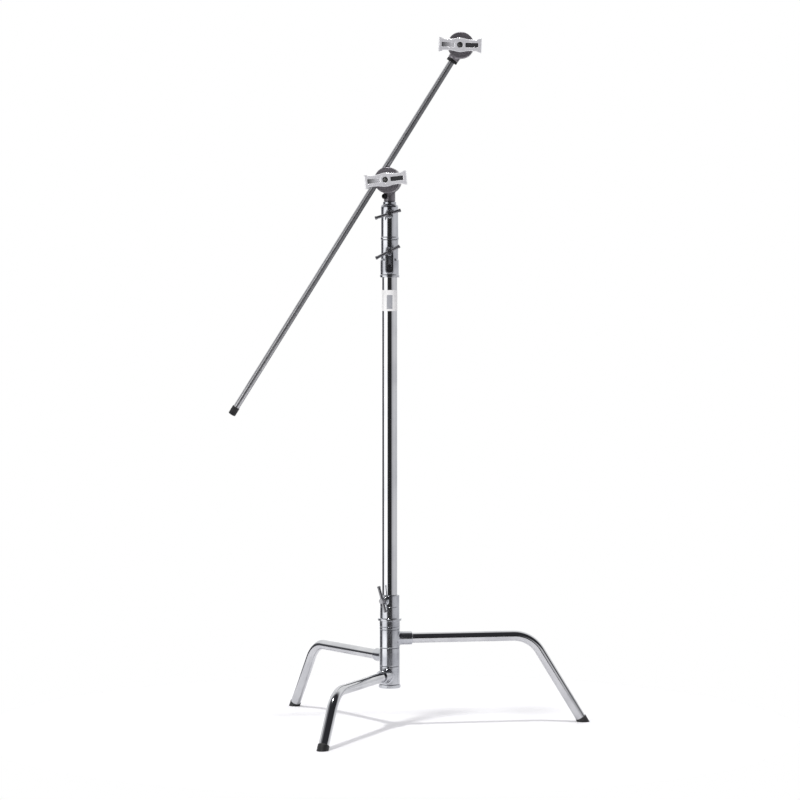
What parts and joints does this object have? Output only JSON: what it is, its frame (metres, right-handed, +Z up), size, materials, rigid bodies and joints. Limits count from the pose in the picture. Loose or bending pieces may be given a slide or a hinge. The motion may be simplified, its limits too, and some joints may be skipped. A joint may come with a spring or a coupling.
{
  "type": "century stand with grip head and arm",
  "caption": "Three-legged steel studio stand with nesting fold-in legs, sliding risers and a long rod arm held in a swivelling grip head, with a second grip head at its tip.",
  "frame": {"origin": "on the floor, on the mast's axis", "axes": "+Z up the mast; -Y is the front, where the clamp screws of the mast face; +X to the right seen from the front, roughly along the fixed leg"},
  "size_m": [0.8909, 0.8058, 1.6878],
  "materials": {
    "chrome_tube": "polished chrome plate on drawn steel tube",
    "chrome_cast": "chrome plate on steel castings, slightly softer than the tubes",
    "head_cast": "satin nickel chrome on die castings",
    "handle_cast": "bright chrome on cast handles",
    "lock_steel": "bright plated screws and cross bars",
    "zinc_steel": "zinc plated fasteners",
    "black_steel": "black oxide",
    "black_rubber": "matt moulded rubber",
    "brake_brass": "turned brass",
    "bush_nylon": "black nylon",
    "label_film": "white film with a plain grey panel"
  },
  "bodies": {
    "base": {"base_core_tube": "chrome_tube", "base_retaining_nut": "chrome_cast", "base_neck_ring": "chrome_cast", "base_socket": "chrome_cast", "base_brake_shoe": "brake_brass", "top_leg_hub": "chrome_cast", "top_leg_tube": "chrome_tube", "top_leg_foot": "black_rubber"},
    "middle_leg": {"middle_leg_hub": "chrome_cast", "middle_leg_tube": "chrome_tube", "middle_leg_foot": "black_rubber"},
    "lower_leg": {"lower_leg_hub": "chrome_cast", "lower_leg_tube": "chrome_tube", "lower_leg_foot": "black_rubber"},
    "base_lock": {"base_lock_screw": "lock_steel", "base_lock_bar": "lock_steel"},
    "column": {"column_tube": "chrome_tube", "column_label": "label_film", "column_collar": "chrome_cast", "column_collar_set_screw": "black_steel", "column_brake_shoe": "brake_brass"},
    "column_lock": {"column_lock_screw": "lock_steel", "column_lock_bar": "lock_steel"},
    "riser_two": {"riser_two_tube": "chrome_tube", "riser_two_bush": "bush_nylon", "riser_two_collar": "chrome_cast", "riser_brake_shoe": "brake_brass"},
    "riser_lock": {"riser_lock_screw": "lock_steel", "riser_lock_bar": "lock_steel"},
    "top_riser": {"top_riser_tube": "chrome_tube", "top_riser_bush": "bush_nylon", "baby_pin": "chrome_cast"},
    "head": {"head_body": "head_cast", "head_bolt": "zinc_steel"},
    "pin_screw": {"head_pin_screw": "black_steel"},
    "inner_jaw": {"head_inner_jaw": "head_cast"},
    "outer_jaw": {"head_outer_jaw": "head_cast", "head_washer": "zinc_steel"},
    "head_handle": {"head_t_handle": "handle_cast", "head_handle_nut": "zinc_steel"},
    "arm": {"arm_rod": "chrome_tube", "arm_end_cap": "black_rubber", "arm_ring": "black_rubber", "arm_head_body": "head_cast", "arm_head_bolt": "zinc_steel"},
    "arm_inner_jaw": {"arm_head_inner_jaw": "head_cast"},
    "arm_outer_jaw": {"arm_head_outer_jaw": "head_cast", "arm_head_washer": "zinc_steel"},
    "arm_handle": {"arm_head_t_handle": "handle_cast", "arm_head_handle_nut": "zinc_steel"}
  },
  "joints": [
    {"name": "middle_leg_fold", "type": "hinge", "parent": "base", "child": "middle_leg", "pos_m": [0, 0, 0.1719], "axis": [0, 0, 1], "range_deg": [-112.5, 8]},
    {"name": "lower_leg_fold", "type": "hinge", "parent": "base", "child": "lower_leg", "pos_m": [0, 0, 0.1269], "axis": [0, 0, 1], "range_deg": [-4, 121.8]},
    {"name": "base_lock_turn", "type": "hinge", "parent": "base", "child": "base_lock", "pos_m": [0, 0, 0.311], "axis": [-0.4695, -0.8829, 0], "range_deg": [0, 360]},
    {"name": "column_lift", "type": "slide", "parent": "base", "child": "column", "axis": [0, 0, 1], "range_m": [0, 0.22]},
    {"name": "column_lock_turn", "type": "hinge", "parent": "column", "child": "column_lock", "pos_m": [0, 0, 1.162], "axis": [0, -1, 0], "range_deg": [0, 360]},
    {"name": "riser_two_slide", "type": "slide", "parent": "column", "child": "riser_two", "axis": [0, 0, 1], "range_m": [0, 0.86]},
    {"name": "riser_lock_turn", "type": "hinge", "parent": "riser_two", "child": "riser_lock", "pos_m": [0, 0, 1.253], "axis": [0, -1, 0], "range_deg": [0, 360]},
    {"name": "top_riser_slide", "type": "slide", "parent": "riser_two", "child": "top_riser", "axis": [0, 0, 1], "range_m": [0, 0.86]},
    {"name": "head_swivel", "type": "hinge", "parent": "top_riser", "child": "head", "pos_m": [0, 0, 1.334], "axis": [0, 0, 1], "continuous": true},
    {"name": "pin_screw_turn", "type": "hinge", "parent": "head", "child": "pin_screw", "pos_m": [0, 0, 1.296], "axis": [-0.7133, -0.7009, 0], "range_deg": [0, 360]},
    {"name": "jaw_tilt", "type": "hinge", "parent": "head", "child": "inner_jaw", "pos_m": [0, 0, 1.334], "axis": [-0.165, -0.9863, 0], "range_deg": [-127, 12]},
    {"name": "jaw_open", "type": "slide", "parent": "inner_jaw", "child": "outer_jaw", "axis": [-0.165, -0.9863, 0], "range_m": [0, 0.004]},
    {"name": "head_handle_turn", "type": "hinge", "parent": "outer_jaw", "child": "head_handle", "pos_m": [0, 0, 1.334], "axis": [-0.165, -0.9863, 0], "range_deg": [0, 900]},
    {"name": "arm_slide", "type": "slide", "parent": "inner_jaw", "child": "arm", "axis": [0.5299, -0.0887, 0.8434], "range_m": [-0.2, 0.6]},
    {"name": "arm_jaw_turn", "type": "hinge", "parent": "arm", "child": "arm_inner_jaw", "pos_m": [0.17357, -0.05672, 1.6565], "axis": [-0.0801, -0.9953, -0.0543], "continuous": true},
    {"name": "arm_jaw_open", "type": "slide", "parent": "arm_inner_jaw", "child": "arm_outer_jaw", "axis": [-0.0801, -0.9953, -0.0543], "range_m": [0, 0.004]},
    {"name": "arm_handle_turn", "type": "hinge", "parent": "arm_outer_jaw", "child": "arm_handle", "pos_m": [0.17357, -0.05672, 1.6565], "axis": [-0.0801, -0.9953, -0.0543], "range_deg": [0, 900]}
  ],
  "couplings": [
    {"joint": "jaw_open", "follows": "head_handle_turn", "m_per_rad": 0.00025266},
    {"joint": "arm_jaw_open", "follows": "arm_handle_turn", "m_per_rad": 0.00025266}
  ]
}
